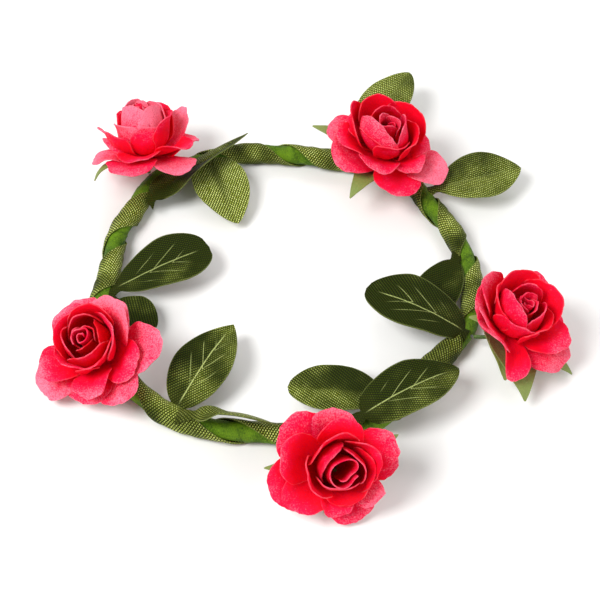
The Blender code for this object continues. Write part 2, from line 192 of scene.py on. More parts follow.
def petalMaterial(name, paint):
    made = Nodes(name, 0.7)
    # painted light, in part: the fade mark runs from deep red at a petal's foot to pale pink at its tip,
    # partly faded dye and partly painted light
    fade = made.attribute("fade")
    rim = made.attribute("rim")
    blotch = made.noise(210, 3)
    speckle = made.noise(2300, 2)
    fibre = made.noise(900, 4)
    body = made.math("ADD", fade, made.math("MULTIPLY", made.math("SUBTRACT", blotch, 0.5), 0.9))
    base = made.mix(made.ramp(body, 0.0, 0.45), paint["deep"], paint["mid"])
    grainy = made.math("ADD", body, made.math("MULTIPLY", made.math("SUBTRACT", speckle, 0.5), 1.5))
    pale = made.mix(made.ramp(grainy, 0.3, 1.1), base, paint["light"])
    specks = made.math("MULTIPLY", made.ramp(made.noise(3100, 2), 0.55, 0.65), 0.6)
    pale = made.mix(specks, pale, paint["speck"])
    cut = made.math("MULTIPLY", made.ramp(rim, 0.965, 1.0), made.ramp(blotch, 0.35, 0.6))
    made.colour(made.mix(made.math("MULTIPLY", cut, 0.25), pale, paint["edge"]))
    height = made.math("ADD", made.math("MULTIPLY", speckle, 0.6), fibre)
    made.bump(height, 0.00014)
    made.shader.inputs["Specular IOR Level"].default_value = 0.12
    # light shines a little way through the thin dyed paper
    made.shader.inputs["Subsurface Weight"].default_value = 0.3
    made.shader.inputs["Subsurface Radius"].default_value = (1.0, 0.12, 0.15)
    made.shader.inputs["Subsurface Scale"].default_value = 0.0015
    return made.material


leafPaint = {
    # thread: the threads where painted lit; dark: the same threads in painted shade
    "thread": (136, 150, 44),
    "gap": (6, 12, 0),
    "dark": (48, 60, 0),
    # painted highlight: the glint of light on the satin threads
    "sun": (232, 244, 152),
    "vein": (184, 196, 120),
    "edge": (142, 154, 84),
    # painted shadow colour
    "shade": (40, 46, 4),
    "ribPitch": 0.75,  # mm, from thread to thread
    "threadPitch": 0.68,
}


def wovenMaterial(name, paint, turn):
    made = Nodes(name, 0.5)
    flat = made.add("UVMap", uv_map="cloth").outputs["UV"]
    turned = made.add("Mapping", {"Rotation": (0, 0, math.radians(turn))}, {"Vector": flat})
    split = made.add("SeparateXYZ", links={"Vector": turned.outputs["Vector"]})
    across = made.math("MULTIPLY", split.outputs["X"], 10 * math.pi / paint["ribPitch"])
    along = made.math("MULTIPLY", split.outputs["Y"], 10 * math.pi / paint["threadPitch"])
    shift = made.math("MULTIPLY", made.math("FLOOR", made.math("DIVIDE", across, math.pi)), math.pi / 2)
    ribs = made.math("ABSOLUTE", made.math("SINE", across))
    threads = made.math("ABSOLUTE", made.math("SINE", made.math("ADD", along, shift)))
    weave = made.math("MULTIPLY", ribs, made.math("ADD", made.math("MULTIPLY", threads, 0.8), 0.2))
    patch = made.noise(80, 2)
    fleck = made.noise(2600, 2)
    # painted light and shade: random patches plus the light mark mix the threads from their painted-shade
    # colour to their lit colour
    toneAndLight = made.math("ADD", made.math("MULTIPLY", patch, 0.6), made.attribute("light"))
    shade = made.mix(made.ramp(toneAndLight, 0.2, 0.6), paint["dark"], paint["thread"])
    cloth = made.mix(made.ramp(weave, 0.05, 0.8), paint["gap"], shade)
    # painted highlight: the raised threads get a bright glint where the leaf is painted lit
    glintShare = made.math("MULTIPLY", made.ramp(weave, 0.5, 0.9), made.ramp(fleck, 0.4, 0.56))
    glintShare = made.math("MULTIPLY", glintShare, made.ramp(toneAndLight, 0.2, 0.7))
    cloth = made.mix(glintShare, cloth, paint["sun"])
    # painted shade: the shade mark darkens leaf bases, the pressed midrib crease and parts of the ribbon
    paintedShadeShare = made.math("MULTIPLY", made.attribute("shade"), 0.65)
    cloth = made.mix(paintedShadeShare, cloth, paint["shade"])
    # the heat-pressed veins: thin broken lines, one along the middle and a few to the sides
    line = made.math("ABSOLUTE", made.attribute("middle"))
    middle = made.ramp(line, 0.26, 0.10)
    phase = made.attribute("sidePhase")
    offset = made.math("ABSOLUTE", made.math("SUBTRACT", made.math("FRACT", phase), 0.5))
    sides = made.math("MULTIPLY", made.ramp(offset, 0.036, 0.014), made.attribute("sideShare"))
    middle = made.math("MULTIPLY", middle, made.attribute("middleShare"))
    vein = made.math("MULTIPLY", made.math("MAXIMUM", middle, sides), made.ramp(fleck, 0.28, 0.46))
    cloth = made.mix(made.math("MULTIPLY", vein, 0.95), cloth, paint["vein"])
    rim = made.ramp(made.attribute("rim"), 0.95, 1.0)
    made.colour(made.mix(made.math("MULTIPLY", rim, 0.4), cloth, paint["edge"]))
    made.bump(made.math("ADD", weave, made.math("MULTIPLY", fleck, 0.3)), 0.0002)
    made.shader.inputs["Specular IOR Level"].default_value = 0.08
    return made.material


tapePaint = {"light": (116, 156, 24), "dark": (30, 66, 0), "seam": (24, 46, 0)}


def tapeMaterial(name, paint):
    made = Nodes(name, 0.6)
    strain = made.add("UVMap", uv_map="cloth").outputs["UV"]
    stretched = made.add("Mapping", {"Scale": (1.0, 5.0, 1.0)}, {"Vector": strain})
    crepe = made.noise(14, 4, stretched.outputs["Vector"])
    grain = made.noise(2200, 3)
    patch = made.noise(120, 2)
    blend = made.math("ADD", made.math("MULTIPLY", crepe, 0.7), made.math("MULTIPLY", patch, 0.5))
    base = made.mix(made.ramp(blend, 0.45, 0.75), paint["dark"], paint["light"])
    seam = made.attribute("seam")
    made.colour(made.mix(made.math("MULTIPLY", seam, 0.6), base, paint["seam"]))
    made.shader.inputs["Specular IOR Level"].default_value = 0.2
    made.bump(made.math("ADD", crepe, made.math("MULTIPLY", grain, 0.4)), 0.00045)
    return made.material


sepalPaint = {"green": (122, 138, 66), "tint": (104, 84, 48), "speck": (168, 176, 112)}


def sepalMaterial(name, paint):
    made = Nodes(name, 0.6)
    reach = made.attribute("reach")
    patch = made.noise(300, 3)
    grain = made.noise(2400, 3)
    share = made.math("ADD", reach, made.math("MULTIPLY", made.math("SUBTRACT", patch, 0.5), 0.8))
    base = made.mix(made.ramp(share, 0.15, 0.7), paint["tint"], paint["green"])
    specks = made.math("MULTIPLY", made.ramp(grain, 0.5, 0.75), 0.3)
    base = made.mix(specks, base, paint["speck"])
    made.colour(base)
    made.bump(made.math("ADD", grain, patch), 0.00015)
    return made.material


wirePaints = {
    "stemGreen": {
        "light": (92, 122, 44), "dark": (48, 70, 18), "roughness": 0.6, "metallic": 0.0, "grain": 1500,
    },
    "wireSteel": {
        "light": (150, 150, 146), "dark": (96, 96, 94), "roughness": 0.35, "metallic": 1.0, "grain": 900,
    },
}


def wireMaterial(name, paint):
    made = Nodes(name, paint["roughness"])
    grain = made.noise(paint["grain"], 3)
    patch = made.noise(300, 2)
    blend = made.ramp(made.math("MULTIPLY", grain, patch), 0.1, 0.4)
    made.colour(made.mix(blend, paint["dark"], paint["light"]))
    made.shader.inputs["Metallic"].default_value = paint["metallic"]
    made.bump(grain, 0.0001)
    return made.material


def deselectAll():
    for piece in bpy.context.selected_objects:
        piece.select_set(False)


def startGrid(name, across, along):  # its corners at -1 and 1
    deselectAll()
    bpy.ops.mesh.primitive_grid_add(x_subdivisions=across, y_subdivisions=along, size=2)
    piece = bpy.context.object
    piece.name = name
    piece.data.name = name
    return piece


def shapeGrid(piece, place, marks=()):  # marks: what place finds at each point, kept as attributes
    values = {mark: [] for mark in marks}
    for vertex in piece.data.vertices:
        point, found = place(vertex.co.x, vertex.co.y)
        vertex.co = point
        for mark in marks:
            values[mark].append(found.get(mark, 0.0))
    for mark in marks:
        made = piece.data.attributes.new(mark, "FLOAT", "POINT")
        made.data.foreach_set("value", values[mark])


def layUvs(piece, flatPlace):  # 1 unit is 10 mm of cloth
    grid = [flatPlace(vertex.co.x, vertex.co.y) for vertex in piece.data.vertices]
    layer = piece.data.uv_layers[0]
    layer.name = "cloth"
    for loop in piece.data.loops:
        layer.data[loop.index].uv = grid[loop.vertex_index]


def applyModifier(piece, kind, **settings):
    deselectAll()
    piece.select_set(True)
    bpy.context.view_layer.objects.active = piece
    made = piece.modifiers.new(kind.title(), kind)
    for key, value in settings.items():
        setattr(made, key, value)
    bpy.ops.object.modifier_apply(modifier=made.name)


def thicken(piece, thickness, offset=0.0):
    applyModifier(piece, "SOLIDIFY", thickness=thickness, offset=offset, use_even_offset=False)


def joinAll(pieces, name):
    deselectAll()
    for piece in pieces:
        piece.select_set(True)
    bpy.context.view_layer.objects.active = pieces[0]
    bpy.ops.object.join()
    pieces[0].name = name
    pieces[0].data.name = name
    return pieces[0]


def finishPiece(piece, body, nodes, material):
    piece.data.materials.clear()
    piece.data.materials.append(material)
    deselectAll()
    piece.select_set(True)
    bpy.context.view_layer.objects.active = piece
    bpy.ops.object.shade_smooth_by_angle(angle=math.radians(sharpEdge))
    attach(piece, body)
    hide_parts(*nodes)


def smoothStep(t):
    t = min(1.0, max(0.0, t))
    return t * t * (3 - 2 * t)


def nodePoints(name):  # each corner of a CAD node once
    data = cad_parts[name].data
    points = np.zeros(len(data.vertices) * 3)
    data.vertices.foreach_get("co", points)
    return np.unique(points.reshape(-1, 3).round(7), axis=0)


ring = {
    "radius": 57.0 * mm,
    "height": 3.85 * mm,
    # azimuth, and how far the hand-bent ring stands out of round there in mm
    "bends": (
        (6, 0.8),
        (33, 0.0),
        (48, 3.0),
        (80, -1.3),
        (112, 1.6),
        (131, 4.0),
        (151, -0.5),
        (175, -3.2),
        (199, 1.0),
        (234, 2.0),
        (265, -1.0),
        (292, 1.5),
        (322, -3.5),
        (345, 1.0),
    ),
}


def ringPoint(azimuth):
    azimuth %= 360
    bends = ring["bends"]
    first, last = bends[0], bends[-1]
    around = ((last[0] - 360, last[1]),) + bends + ((first[0] + 360, first[1]),)
    radius = ring["radius"]
    for (start, low), (end, high) in zip(around, around[1:]):
        if start <= azimuth < end:
            radius += (low + (high - low) * smoothStep((azimuth - start) / (end - start))) * mm
            break
    turn = math.radians(azimuth)
    return Vector((radius * math.cos(turn), radius * math.sin(turn), ring["height"]))


ringMarks = [i / 2 for i in range(721)]  # azimuths, in degrees
ringPlaces = [ringPoint(mark) for mark in ringMarks]
ringLengths = [0.0]
for before, after in zip(ringPlaces, ringPlaces[1:]):
    ringLengths.append(ringLengths[-1] + (after - before).length)
ringLength = ringLengths[-1]


def azimuthAt(length):
    turns, length = divmod(length, ringLength)
    return turns * 360 + float(np.interp(length, ringLengths, ringMarks))


def lengthAt(azimuth):
    turns, azimuth = divmod(azimuth, 360)
    return turns * ringLength + float(np.interp(azimuth, ringMarks, ringLengths))


def sectionPoint(length, radius, angle):
    azimuth = azimuthAt(length)
    onward = (ringPoint(azimuth + 0.7) - ringPoint(azimuth - 0.7)).normalized()
    outward = onward.cross(up)
    centre = ringPoint(azimuth)
    return centre + radius * (math.cos(angle) * outward + math.sin(angle) * up)


tape = {
    "radius": 2.75 * mm,
    "bore": 2.25 * mm,
    "stripPitch": 7.5 * mm,  # from one diagonal seam to the next
    "step": 0.22 * mm,  # the overlap's rise
    "wrinkle": 0.14 * mm,
    "swell": 0.15 * mm,  # slower than the wrinkles
    "under": 0.12 * mm,
    "gap": 0.2 * mm,  # from the cut to the strip's ends
    "around": 32,
    "along": 640,
    "cut": 24.0,
}


def tapeOuter(length, angle):
    strip = (length / tape["stripPitch"] + angle / math.tau) % 1.0
    rise = tape["step"] * (1 - strip) ** 1.5
    wrinkle = noise.noise(Vector((length * 500, math.cos(angle) * 1.6, math.sin(angle) * 1.6)))
    slow = noise.noise(Vector((length * 90, math.cos(angle), math.sin(angle) + 7)))
    radius = tape["radius"] - tape["under"] + rise + wrinkle * tape["wrinkle"] + slow * tape["swell"]
    return radius, strip


def makeTape(material):
    start = lengthAt(tape["cut"]) + tape["gap"]
    span = ringLength - 2 * tape["gap"]

    def place(x, y):
        angle = math.pi * (x + 1)
        length = start + span * (y + 1) / 2
        radius, strip = tapeOuter(length, angle % math.tau)
        seam = max(0.0, 1 - min(strip, 1 - strip) * 14)
        return sectionPoint(length, radius, angle), {"seam": seam}

    piece = startGrid("floralTape", tape["around"], tape["along"])
    layUvs(piece, lambda x, y: ((x + 1) * 0.9, (y + 1) / 2 * 36))
    shapeGrid(piece, place, ("seam",))
    applyModifier(piece, "WELD", merge_threshold=0.00001)
    faceOut(piece)
    thicken(piece, tape["radius"] - tape["bore"], -1.0)
    finishPiece(piece, "ring", ["ring_tape"], material)


def faceOut(piece):  # normals outward
    deselectAll()
    piece.select_set(True)
    bpy.context.view_layer.objects.active = piece
    bpy.ops.object.mode_set(mode="EDIT")
    bpy.ops.mesh.select_all(action="SELECT")
    bpy.ops.mesh.normals_make_consistent(inside=False)
    bpy.ops.object.mode_set(mode="OBJECT")


ribbon = {
    "width": 10.0 * mm,
    "thickness": 0.34 * mm,
    "radius": 3.12 * mm,
    # for each stretch, where its turns begin and their pitch, in mm
    "turns": ((4.5, 27), (10.8, 25), (24.8, 37), (14.2, 25), (15.2, 27)),
    "stems": (58, 134, 209, 283, 340),  # azimuths of the stems that part the stretches
    "keep": 5.6 * mm,
    "loose": 0.4 * mm,  # how far it stands off the tape
    "curl": 0.3 * mm,  # of its edges
    "crease": 0.12 * mm,
    "least": 0.25 * mm,  # its height above the surface
    "across": 14,
    "stepsPerTurn": 44,
}


def makeRibbon(index, start, end, turns, material):
    firstTurn, pitch = turns[0] * mm, turns[1] * mm
    slope = math.atan2(math.tau * ribbon["radius"], pitch)
    turnsLong = (end - start) / pitch
    stripLength = math.hypot(end - start, math.tau * ribbon["radius"] * turnsLong)
    steps = round(turnsLong * ribbon["stepsPerTurn"])

    def flat(x, y):
        return (x * ribbon["width"] / 2 * 100, (y + 1) / 2 * stripLength * 100)

    def place(x, y):
        length = start + (end - start) * (y + 1) / 2
        turn = math.tau * (firstTurn - length) / pitch
        across = x * ribbon["width"] / 2
        slack = noise.noise(Vector((length * 110, index * 5.0, x * 0.7)))
        lift = ribbon["loose"] * (0.25 + 0.75 * abs(slack))
        lift += ribbon["curl"] * abs(x) ** 3 * (0.5 + slack)
        crease = ribbon["crease"] * math.cos(3 * math.pi * x + 4 * slack)
        radius = ribbon["radius"] + lift + crease
        here = length + across * math.sin(slope)
        angle = turn + across * math.cos(slope) / ribbon["radius"]
        point = sectionPoint(here, radius, angle)
        point.z = max(point.z, ribbon["least"])
        # painted light and shade along the ribbon, varying with the same noise that sets its slack
        return point, {"rim": abs(x), "shade": max(0.0, 0.35 * slack), "light": 0.14 - 0.3 * slack}

    piece = startGrid("woundRibbon" + str(index), ribbon["across"], steps)
    layUvs(piece, flat)
    shapeGrid(piece, place, ("rim", "shade", "light"))
    thicken(piece, ribbon["thickness"])
    finishPiece(piece, "ring", ["ribbon_wrap_" + str(index)], material)


def makeRibbons(material):
    stems = [lengthAt(azimuth) for azimuth in ribbon["stems"]]
    ends = stems[1:] + [stems[0] + ringLength]
    for i, (start, end) in enumerate(zip(stems, ends)):
        makeRibbon(i + 1, start + ribbon["keep"], end - ribbon["keep"], ribbon["turns"][i], material)


leafShape = {
    "thickness": 0.32 * mm,
    "neck": 3.0,  # mm
    "root": 4.5,  # mm, how far its root lies back over the ribbon
    "rootDrop": 0.9 * mm,
    "across": 28,
    "along": 60,
    "veinWidth": 0.45 * mm,
    "veinHeight": 0.2 * mm,
    "creaseWidth": 0.9 * mm,
    "creaseDepth": 0.32 * mm,
    "shadeWidth": 1.6 * mm,
    "ripple": 0.45,
    "pucker": 0.16,
    "tipWidth": 0.05 * mm,
    "veinGap": 7.5,  # mm, from one side vein to the next
}

# width, arch, wave, neck, root and the shifts in mm. fold: how much the sides rise. roll and twist: in
# degrees about the midrib. foot, point: near 0.4 for a round end, 1 for a sharp one. peak: where it is
# widest. veins: how clear. dark: how deep its pressed creases are, and how much painted shade lies in
# them. light: how much painted light (above 0) or painted shade (below 0) the whole leaf gets. calm: less
# than 1 for a flatter surface
leaves = {
    "leaf_01": {
        "width": 14.0, "arch": 0.6, "fold": 0.06, "twist": 6, "wave": 0.3, "foot": 0.6,
        "point": 0.7, "peak": 0.55, "tipShift": (2.5, 1.0, 0), "veins": 0.0, "light": -0.1,
    },
    "leaf_02": {
        "width": 19.5, "arch": 0.8, "fold": 0.06, "twist": -8, "wave": 0.4, "foot": 0.8,
        "point": 0.75, "peak": 0.52, "neckShift": (0, -0.8, 0), "veins": 0.2, "dark": 0.4,
        "light": 0.14,
    },
    "leaf_03": {
        "width": 16.0, "arch": 0.8, "fold": 0.12, "twist": 14, "wave": 0.4, "foot": 0.7,
        "point": 0.66, "peak": 0.6, "tipShift": (-0.3, 1.5, 1.5), "veins": 0.1, "light": 0.16,
    },
    "leaf_04": {
        "width": 17.5, "arch": 1.3, "fold": 0.1, "twist": 0, "wave": 0.5, "foot": 0.36,
        "point": 0.72, "peak": 0.45, "root": 1.5, "neckShift": (2.4, 4.0, 0.4),
        "tipShift": (0.3, 0, 0), "veins": 0.1, "dark": 1.2, "light": 0.5,
    },
    "leaf_05": {
        "width": 13.0, "arch": 0.4, "fold": 0.05, "roll": 32, "twist": 10, "wave": 0.3, "foot": 0.4,
        "point": 1.0, "peak": 0.32, "neck": 4.0, "root": 2.2, "neckShift": (1.2, -1.4, -0.9),
        "tipShift": (1.0, -0.8, -0.9), "veins": 0.0, "dark": 0.8,
    },
    "leaf_06": {
        "width": 18.5, "arch": 0.9, "fold": 0.12, "twist": -8, "wave": 0.5, "foot": 0.6,
        "point": 0.38, "peak": 0.62, "neckShift": (0, -1.2, 0), "tipShift": (0.3, -0.9, 0),
        "veins": 0.7, "light": -0.14,
    },
    "leaf_07": {
        "width": 12.0, "arch": 0.5, "fold": 0.05, "twist": 0, "wave": 0.3, "foot": 0.6,
        "point": 0.7, "tipShift": (-0.8, 1.0, 0), "veins": 0.0, "light": -0.1,
    },
    "leaf_08": {
        "width": 17.5, "arch": 2.0, "fold": 0.1, "twist": 10, "wave": 0.4, "foot": 0.42,
        "point": 0.85, "peak": 0.44, "neck": 5.0, "neckShift": (-0.6, -1.0, -0.2), "veins": 0.9,
        "light": 0.02,
    },
    "leaf_09": {
        "width": 11.5, "arch": 2.6, "fold": 0.05, "roll": 50, "twist": 6, "wave": 0.0, "foot": 0.6,
        "point": 0.75, "veins": 0.0, "light": 0.1, "calm": 0.2,
    },
    "leaf_10": {
        "width": 17.5, "arch": 2.2, "fold": 0.1, "twist": 12, "wave": 0.4, "foot": 0.3,
        "point": 0.66, "peak": 0.5, "neckShift": (2.4, 1.8, 1.0), "tipShift": (0.6, 0.6, 0),
        "veins": 0.8, "light": -0.04,
    },
    "leaf_11": {
        "width": 16.5, "arch": 1.0, "fold": 0.08, "twist": 0, "wave": 0.5, "foot": 0.6,
        "point": 0.5, "veins": 0.0, "dark": 0.3, "light": 0.0,
    },
    "leaf_12": {
        "width": 19.0, "arch": 2.4, "fold": 0.1, "twist": -6, "wave": 0.5, "foot": 0.4,
        "point": 0.5, "peak": 0.62, "root": 1.5, "neckShift": (6.0, 1.2, 0.6),
        "tipShift": (0.4, -0.6, 0), "veins": 0.8, "dark": 0.5, "light": -0.14,
    },
}


def leafEnds(name):  # the CAD leaf's neck and tip, the wider end being its neck
    points = nodePoints(name)
    middle = points.mean(axis=0)
    longest = np.linalg.svd(points - middle)[2][0]
    order = np.argsort((points - middle) @ longest)
    ends = [points[order[:6]], points[order[-6:]]]
    ends.sort(key=lambda end: -np.ptp(end, axis=0).max())
    return Vector(ends[0].mean(axis=0)), Vector(ends[1].mean(axis=0))


def makeLeaf(name, index, plan, material):
    neck, tip = leafEnds(name)
    neck += Vector(plan.get("neckShift", (0, 0, 0))) * mm
    tip += Vector(plan.get("tipShift", (0, 0, 0))) * mm
    heading = tip - neck
    length = heading.length
    heading.normalize()
    side = heading.cross(up).normalized()
    face = side.cross(heading).normalized()
    half = plan["width"] / 2 * mm
    waist = plan.get("neck", leafShape["neck"]) * mm / 2
    back = plan.get("root", leafShape["root"]) * mm / length
    peak = plan.get("peak", 0.5)

    def along(y):
        return -back + (1 + back) * (y + 1) / 2

    def halfAt(t):
        if t <= 0:
            return waist * (1 + 0.9 * t / -back)
        share = t / peak if t < peak else (1 - t) / (1 - peak)
        blunt = plan["foot"] if t < peak else plan["point"]
        blade = half * math.sin(math.pi / 2 * max(0.0, share)) ** blunt
        return max(waist * (1 - t) + leafShape["tipWidth"], blade)

    def flat(x, y):
        t = along(y)
        return (x * halfAt(t) * 100, t * length * 100)

    def place(x, y):
        t = along(y)
        reach = halfAt(t)
        across = x * reach
        on = smoothStep(t * 2.5)
        turn = math.radians(plan.get("roll", 0) * on + plan["twist"] * (t - 0.3) * on)
        out = math.cos(turn) * side + math.sin(turn) * face
        rise = math.cos(turn) * face - math.sin(turn) * side
        middle = neck + heading * length * t
        swell = math.sin(math.pi * min(1.0, max(0.0, t)))
        middle += face * plan["arch"] * mm * swell
        bend = abs(x) ** 1.5 * reach * plan["fold"] * on
        wave = plan["wave"] * mm * x * x * math.sin(t * 9 + index * 1.7 + (2.2 if x > 0 else 0)) * swell
        calm = plan.get("calm", 1.0) * swell * mm
        ripple = noise.noise(Vector((t * 3, x * 1.5, index * 3.1))) * leafShape["ripple"] * calm
        pucker = noise.noise(Vector((t * 9, x * 4.0, index * 5.3))) * leafShape["pucker"] * calm
        crease = math.exp(-((across / leafShape["creaseWidth"]) ** 2)) * swell * (1 + plan.get("dark", 0))
        ridge = math.exp(-((across / leafShape["veinWidth"]) ** 2)) * swell * min(1.0, plan["veins"] * 2)
        lift = bend + wave + ripple + pucker
        lift += leafShape["veinHeight"] * ridge - leafShape["creaseDepth"] * crease
        if t < 0.1:
            root = (0.1 - t) / (0.1 + back)
            lift -= leafShape["rootDrop"] * root * root + 1.1 * mm * x * x * root
        reached = t * length / mm - abs(across) / mm * 1.9 + (2.4 if x > 0 else 0)
        phase = reached / leafShape["veinGap"] + index * 0.37
        inside = smoothStep((0.62 - abs(x)) * 6) * smoothStep((t - 0.2) * 8) * smoothStep((0.78 - t) * 8)
        # painted shade along the pressed midrib crease, and a painted shadow across the leaf's base
        shade = plan.get("dark", 0.0) * max(0.0, 1 - abs(t - 0.3) * 2.0)
        shade *= math.exp(-((across / leafShape["shadeWidth"]) ** 2))
        shade += 0.9 * smoothStep(1 - t * 5)
        # the light mark: painted light or shade for the whole leaf, with one side of the midrib painted
        # lighter and the other darker
        found = {
            "rim": max(abs(x) if t > 0.05 else 0.0, 1 - (1 - t) * 14),
            "middle": across / mm,
            "middleShare": plan["veins"] * smoothStep(t * 9) * smoothStep((0.9 - t) * 7),
            "sidePhase": phase,
            "sideShare": plan["veins"] * inside * 0.9,
            "shade": min(1.0, shade),
            "light": plan.get("light", 0.0) + 0.06 * math.tanh(across / mm) * (1 if index % 2 else -1),
        }
        return middle + out * across + rise * lift, found

    piece = startGrid("wovenLeaf" + name[-2:], leafShape["across"], leafShape["along"])
    layUvs(piece, flat)
    shapeGrid(piece, place, ("rim", "middle", "middleShare", "sidePhase", "sideShare", "shade", "light"))
    thicken(piece, leafShape["thickness"])
    finishPiece(piece, "ring", [name], material)


# spine: the petal's rise in degrees from its foot to its tip. cup: how far its sides turn in, and open:
# how much less at the tip. roll: how far its rim turns back, in mm. fade: how pale, from foot to tip, partly
# faded dye and partly painted light
petalKinds = {
    "outer": {
        "start": 1.5, "floor": 1.3, "length": 18.0, "width": 17.5, "waist": 0.55,
        "spine": (6, 12, 20, 18, -4), "cup": 0.65, "open": 0.3, "roll": 1.1, "ruffle": 0.6,
        "fade": (0.1, 1.0), "spiral": 0.0,
    },
    "second": {
        "start": 1.5, "floor": 1.9, "length": 17.4, "width": 15.5, "waist": 0.55,
        "spine": (10, 30, 44, 38, 8), "cup": 0.95, "open": 0.2, "roll": 1.0, "ruffle": 0.6,
        "fade": (-0.3, 0.9), "spiral": 0.5,
    },
    "middle": {
        "start": 1.5, "floor": 2.6, "length": 17.2, "width": 16.5, "waist": 0.6,
        "spine": (14, 44, 76, 84, 72), "cup": 1.15, "open": 0.1, "roll": 0.6, "ruffle": 0.45,
        "fade": (-0.5, 0.45), "spiral": 1.0,
    },
    "wrap": {
        "start": 1.0, "floor": 3.0, "length": 17.2, "width": 16.0, "waist": 0.7,
        "spine": (22, 52, 86, 106, 110), "cup": 1.3, "open": 0.0, "roll": 0.4, "ruffle": 0.3,
        "fade": (-0.1, 0.7), "spiral": 1.0,
    },
    "core": {
        "start": 0.4, "floor": 4.0, "length": 13.8, "width": 9.5, "waist": 0.8,
        "spine": (44, 68, 92, 98, 88), "cup": 1.6, "open": 0.0, "roll": 0.25, "ruffle": 0.15,
        "fade": (0.0, 0.7), "spiral": 1.1,
    },
    "sepal": {
        "start": 1.0, "floor": 0.45, "length": 13.5, "width": 9.0, "waist": 1.0,
        "spine": (2, 6, 4, -8, -30), "cup": 0.5, "open": 0.3, "roll": 0.0, "ruffle": 0.3,
        "fade": (0.0, 1.0), "spiral": 0.0,
    },
}
petalSheet = {
    "across": 18,
    "along": 18,
    "thickness": 0.34 * mm,
    "ripple": 0.5 * mm,
    "crease": 0.16 * mm,
    "ragged": 0.10,  # how uneven its edge is, as a share of its width
    "raggedTip": 0.09,
}
